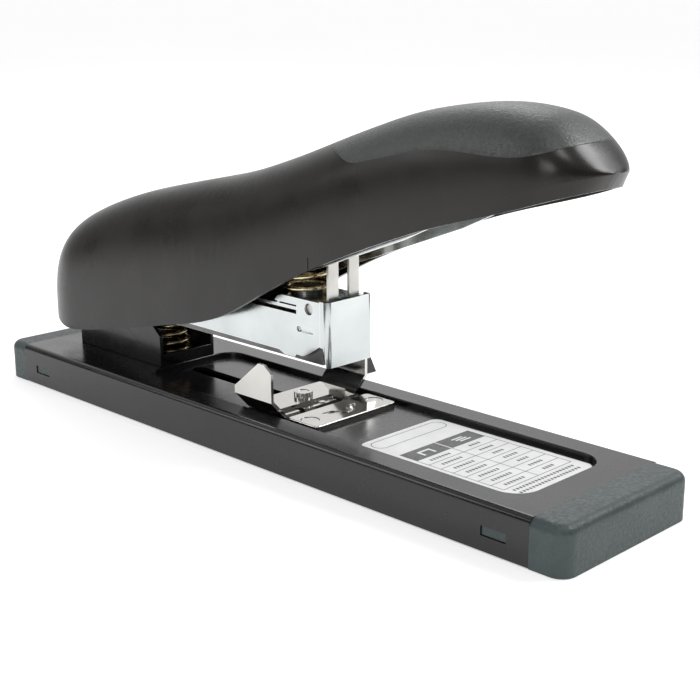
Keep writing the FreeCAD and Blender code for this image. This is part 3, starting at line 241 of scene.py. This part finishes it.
FINISHES = {
    "pan_paint": pan_paint(),
    "cap_plastic": cap_plastic(),
    "handle_plastic": handle_plastic(),
    "grip_rubber": grip_rubber(),
    "plated_steel": plated("plated_steel", (0.54, 0.575, 0.575), (0.61, 0.645, 0.645), 0.2),
    "nickel_plate": plated("nickel_plate", (0.56, 0.55, 0.525), (0.64, 0.63, 0.6), 0.1),
    # Dark steel for the inner parts; on the driver guide, seen through the head's window, this
    # darkness is partly painted shade.
    "inner_steel": plated("inner_steel", (0.12, 0.12, 0.12), (0.2, 0.2, 0.2), 0.34,
                          edge_highlight=(0.4, 0.4, 0.4)),
    "satin_steel": plated("satin_steel", (0.5, 0.49, 0.46), (0.62, 0.61, 0.58), 0.32, (8.0, 8.0, 1.0)),
    "spring_wire": spring_wire(),
    "label_paper": label_paper(),
    "foot_rubber": rubber("foot_rubber", (0.012, 0.012, 0.012), (0.022, 0.022, 0.022)),
    "closing_plate": plated("closing_plate", (0.04, 0.04, 0.042), (0.06, 0.06, 0.062), 0.4,
                            edge_highlight=(0.2, 0.2, 0.2)),
    "black_nylon": rubber("black_nylon", (0.01, 0.01, 0.01), (0.018, 0.018, 0.018)),
    "fastener_steel": plated("fastener_steel", (0.5, 0.5, 0.49), (0.66, 0.66, 0.65), 0.26),
}
INK = label_ink()


def dress_nodes():
    """Give every CAD node the finish of its material slot in the record."""
    for entry in frame["record"]["subparts"]:
        NODES[entry["node"]].data.materials.clear()
        NODES[entry["node"]].data.materials.append(FINISHES[entry["material_slot"]])


# ---------------------------------------------------------------- fine pieces
def mesh_piece(name, points, faces, finish, body):
    """A new piece from points in millimetres, riding on a body."""
    mesh = bpy.data.meshes.new(name)
    mesh.from_pydata([Vector(point) * MM for point in points], [], faces)
    mesh.materials.append(finish)
    item = bpy.data.objects.new(name, mesh)
    bpy.context.scene.collection.objects.link(item)
    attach(item, body)
    return item


def spring_path(low, high, low_radius, top_radius, turns, wire):
    """Points of a coil along +Z whose first and last turns lie closed; `wire` is its radius."""
    steps = 40
    closed = 1.0
    pitch = 2.05 * wire  # a closed turn lies against the next one
    count = int(steps * turns)
    rise = high - low - 2 * closed * pitch
    points = []
    for number in range(count + 1):
        turn = number / steps
        if turn < closed:
            height = low + turn * pitch
        elif turn > turns - closed:
            height = high - (turns - turn) * pitch
        else:
            height = low + closed * pitch + rise * (turn - closed) / (turns - 2 * closed)
        radius = low_radius + (top_radius - low_radius) * turn / turns
        angle = 2 * math.pi * turn
        points.append(Vector((radius * math.cos(angle), radius * math.sin(angle), height)))
    return points


def spring_piece(node, body, base, turn, joint, axis, keep, **shape):
    """A closed-end coil in place of a CAD spring."""
    wire, sides = shape["wire"], 12
    path = spring_path(**shape)
    points, faces = [], []
    for number, centre in enumerate(path):
        along = (path[min(number + 1, len(path) - 1)] - path[max(number - 1, 0)]).normalized()
        out = Vector((centre.x, centre.y, 0)).normalized()
        out = (out - along * out.dot(along)).normalized()
        side = along.cross(out)
        for spoke in range(sides):
            angle = 2 * math.pi * spoke / sides
            at = centre + wire * (out * math.cos(angle) + side * math.sin(angle))
            points.append(Vector(base) + turn @ at)
    for number in range(len(path) - 1):
        for spoke in range(sides):
            one, other = number * sides, (number + 1) * sides
            after = (spoke + 1) % sides
            faces.append((one + spoke, other + spoke, other + after, one + after))
    faces.append(tuple(range(sides)))
    faces.append(tuple(reversed(range(len(points) - sides, len(points)))))
    item = mesh_piece(node + "_wire", points, faces, FINISHES["spring_wire"], body)
    for face in item.data.polygons:
        face.use_smooth = len(face.vertices) == 4
    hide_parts(node)
    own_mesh(item)
    return item


# Each spring's place: body, base, direction, joint, its axis, shortest share of the length
UPRIGHT = Matrix.Identity(3)
FORWARD = Matrix.Rotation(math.radians(90), 3, "Y")
SPRINGS = {
    "lift_spring": {
        "place": ("base", (-71.5, 0, 16.5), UPRIGHT, "magazine_tilt", (0, 0, 1), 0.72),
        "shape": {"low": 0.75, "high": 13.7, "low_radius": 8.6, "top_radius": 6.2, "turns": 5.0,
                  "wire": 0.75},
    },
    "return_spring": {
        "place": ("magazine", (7.0, 0, 53.1), UPRIGHT, "handle_tilt", (0, 0, 1), 0.36),
        "shape": {"low": 0.8, "high": 19.6, "low_radius": 7.8, "top_radius": 5.8, "turns": 5.5,
                  "wire": 0.8},
    },
    "pusher_spring": {
        "place": ("magazine", (-87.5, 0, 46.0), FORWARD, "pusher_slide", (1, 0, 0), 0.31),
        "shape": {"low": 0.35, "high": 86.6, "low_radius": 2.4, "top_radius": 2.4, "turns": 24.0,
                  "wire": 0.35},
    },
}


def springs():
    """The three coil springs."""
    for node, spring in SPRINGS.items():
        spring_piece(node, *spring["place"], **spring["shape"])


# ---------------------------------------------------------------- label
LABEL_TOP = 13.15
PRINT_LIFT = 0.02  # above the label; what lies over other print is lifted a little more
TABLE = {"rear": 64.2, "head": 71.6, "front": 105.0, "half": 16.2, "rows": 7}


def stripe(rear, front, near, far, lift=PRINT_LIFT):
    """Corners of a printed rectangle on the label."""
    high = LABEL_TOP + lift
    return [(rear, near, high), (front, near, high), (front, far, high), (rear, far, high)]


def printed(name, blocks, finish):
    """Printed rectangles as one thin piece."""
    points, faces = [], []
    for block in blocks:
        faces.append(tuple(range(len(points), len(points) + len(block))))
        points += block
    return mesh_piece(name, points, faces, finish, "base")


def table_lines():
    """The table's rules and its dark heading cells."""
    line, gap, lift = 0.13, 0.25, 0.025
    rear, head, front, half = TABLE["rear"], TABLE["head"], TABLE["front"], TABLE["half"]
    blocks = [stripe(rear, head, -half, -gap), stripe(rear, head, gap, half)]
    for across in (-half, 0, half):
        blocks.append(stripe(head, front, across - line, across + line))
    for row in range(1, TABLE["rows"] + 1):
        at = head + (front - head) * row / TABLE["rows"]
        blocks.append(stripe(at - line, at + line, -half, half, lift))
    return blocks


def table_marks():
    """Rows of short dashes where a size and a sheet count would stand."""
    rear, front = TABLE["head"], TABLE["front"]
    pitch = (front - rear) / TABLE["rows"]
    column, tall, wide, apart = 8.1, 0.62, 0.85, 1.35
    blocks = []
    for row in range(TABLE["rows"]):
        middle = rear + pitch * (row + 0.5)
        for centre, count in ((-column, 7), (column, 4 + row % 2)):
            for number in range(count):
                start = centre + (number - count / 2) * apart
                blocks.append(stripe(middle - tall, middle + tall, start, start + wide))
    note_lines, note_side, note_count = (107.2, 109.6), -14.6, 20
    tall, wide, apart = 0.55, 0.9, 1.46
    for line in note_lines:
        for number in range(note_count):
            start = note_side + number * apart
            blocks.append(stripe(line - tall, line + tall, start, start + wide))
    return blocks


def table_icons():
    """Light symbols in the heading cells: a staple and a stack of sheets."""
    lift = 0.03
    blocks = [
        stripe(66.4, 67.3, -10.9, -5.3, lift),
        stripe(67.3, 70.0, -10.9, -10.0, lift),
        stripe(67.3, 70.0, -6.2, -5.3, lift),
    ]
    for step in range(3):
        rear = 66.3 + step * 1.25
        blocks.append(stripe(rear, rear + 0.75, 5.4 + step * 0.7, 10.4 + step * 0.7, lift))
    return blocks


def pill_outline():
    """A thin stadium-shaped frame at the label's rear end, left empty."""
    rear, front, half, line = 50.6, 56.6, 16.4, 0.14
    radius = (front - rear) / 2
    steps = 18
    rings = []
    for reach in (radius + line, radius - line):
        ring = []
        for way in (-1, 1):
            for step in range(steps + 1):
                angle = math.pi * step / steps + (0 if way > 0 else math.pi)
                ring.append((rear + radius + reach * math.cos(angle),
                             way * (half - radius) + reach * math.sin(angle), LABEL_TOP + PRINT_LIFT))
        rings.append(ring)
    outer, inner = rings
    count = len(outer)
    return [[outer[number], outer[(number + 1) % count], inner[(number + 1) % count], inner[number]]
            for number in range(count)]


def label_print():
    """All that is printed on the capacity label."""
    printed("label_table", table_lines(), INK)
    printed("label_marks", table_marks(), INK)
    printed("label_icons", table_icons(), FINISHES["label_paper"])
    printed("label_frame", pill_outline(), INK)


# ---------------------------------------------------------------- rounded edges
SHEET_EDGE = 0.00022
GRIP_EDGE = 0.0004
SHEET_PIECES = ("head_cover", "magazine_channel", "riser_bracket", "guide_plate", "guide_thumb_pad",
                "driver_fork", "anvil_plate")


def soften(width, *nodes):
    """Round the sharp edges of sheet-metal and moulded nodes a little."""
    same_place, sharp = 1e-6, math.radians(40)
    for name in nodes:
        item = NODES[name]
        weld = item.modifiers.new("weld", "WELD")
        weld.merge_threshold = same_place
        bevel = item.modifiers.new("bevel", "BEVEL")
        bevel.width = width
        bevel.segments = 2
        bevel.limit_method = "ANGLE"
        bevel.angle_limit = sharp
        bevel.harden_normals = True


# ---------------------------------------------------------------- studio
UP = (0.0, 0.0, 1.0)
BEHIND = (-0.69, 0.69, 0.2)
ROOM_GLOW = 0.13
TOP_GLOW = 0.5
BACK_GLOW = 0.85
FLOOR_GLOW = 0.42
FLOOR_REACH = 30.0
AIM = (0.0, 0.0, 0.05)
# name, watts, metres across, place
SOFTBOXES = (
    ("key", 6.0, 0.45, (0.52, 0.7, 0.88)),
    ("near", 1.6, 0.35, (0.32, -1.05, 0.45)),
    ("rim", 1.4, 0.4, (-0.7, -0.68, 0.55)),
    ("back", 1.6, 0.5, (-0.7, 0.8, 0.9)),
    ("top", 2.4, 0.36, (0.6, -0.35, 1.2)),
)


def room():
    """A grey room that is brighter overhead and behind the object."""
    world = bpy.data.worlds.new("studio")
    world.use_nodes = True
    tree = world.node_tree
    way = tree.nodes.new("ShaderNodeTexCoord").outputs["Generated"]
    shares = []
    for toward, start, stop, most in ((UP, 0.3, 0.95, TOP_GLOW), (BEHIND, 0.35, 0.95, BACK_GLOW)):
        along = tree.nodes.new("ShaderNodeVectorMath")
        along.operation = "DOT_PRODUCT"
        along.inputs[1].default_value = toward
        tree.links.new(way, along.inputs[0])
        spread = tree.nodes.new("ShaderNodeMapRange")
        spread.interpolation_type = "SMOOTHSTEP"
        spread.inputs["From Min"].default_value = start
        spread.inputs["From Max"].default_value = stop
        spread.inputs["To Min"].default_value = 0.0
        spread.inputs["To Max"].default_value = most
        tree.links.new(along.outputs["Value"], spread.inputs["Value"])
        shares.append(spread.outputs["Result"])
    total = tree.nodes.new("ShaderNodeMath")
    tree.links.new(shares[0], total.inputs[0])
    tree.links.new(shares[1], total.inputs[1])
    lifted = tree.nodes.new("ShaderNodeMath")
    lifted.inputs[1].default_value = ROOM_GLOW
    tree.links.new(total.outputs[0], lifted.inputs[0])
    tree.links.new(lifted.outputs[0], tree.nodes["Background"].inputs["Strength"])
    tree.nodes["Background"].inputs["Color"].default_value = (1.0, 1.0, 1.0, 1.0)
    bpy.context.scene.world = world


def studio():
    """White floor and softboxes."""
    reach = FLOOR_REACH
    mesh = bpy.data.meshes.new("floor")
    mesh.from_pydata([(-reach, -reach, 0), (reach, -reach, 0), (reach, reach, 0), (-reach, reach, 0)],
                     [], [(0, 1, 2, 3)])
    floor = bpy.data.objects.new("floor", mesh)
    bpy.context.scene.collection.objects.link(floor)
    look = Surface("floor", 0.7, specular=0.1)
    look.colour(look.noise(0.4, 2.0), (0.9, 0.9, 0.9), (0.92, 0.92, 0.92))
    look.shader.inputs["Emission Color"].default_value = (1.0, 1.0, 1.0, 1.0)
    look.shader.inputs["Emission Strength"].default_value = FLOOR_GLOW
    mesh.materials.append(look.material)
    for name, power, size, place in SOFTBOXES:
        light = bpy.data.lights.new(name, "AREA")
        light.energy, light.size = power, size
        lamp = bpy.data.objects.new(name, light)
        lamp.location = place
        toward = Vector(AIM) - Vector(place)
        lamp.rotation_euler = toward.to_track_quat("-Z", "Y").to_euler()
        bpy.context.scene.collection.objects.link(lamp)
    bpy.context.scene.view_settings.view_transform = "Standard"


CAMERA_PLACE = (0.321415, -0.293547, 0.152389)
CAMERA_AROUND = 45.11
CAMERA_DOWN = 15.61
CAMERA_ROLL = -0.26


def camera():
    """The viewing angle: above the near front corner of the base."""
    lens = bpy.data.cameras.new("camera")
    lens.lens = 67.3
    lens.sensor_width = 36.0
    lens.clip_start = 0.01
    item = bpy.data.objects.new("camera", lens)
    turn = (Matrix.Rotation(math.radians(CAMERA_AROUND), 4, "Z")
            @ Matrix.Rotation(math.radians(90 - CAMERA_DOWN), 4, "X")
            @ Matrix.Rotation(math.radians(CAMERA_ROLL), 4, "Z"))
    item.matrix_world = Matrix.Translation(CAMERA_PLACE) @ turn
    bpy.context.scene.collection.objects.link(item)
    bpy.context.scene.camera = item


dress_nodes()
soften(SHEET_EDGE, *SHEET_PIECES)
soften(GRIP_EDGE, "grip_insert")
springs()
label_print()
room()
studio()
camera()
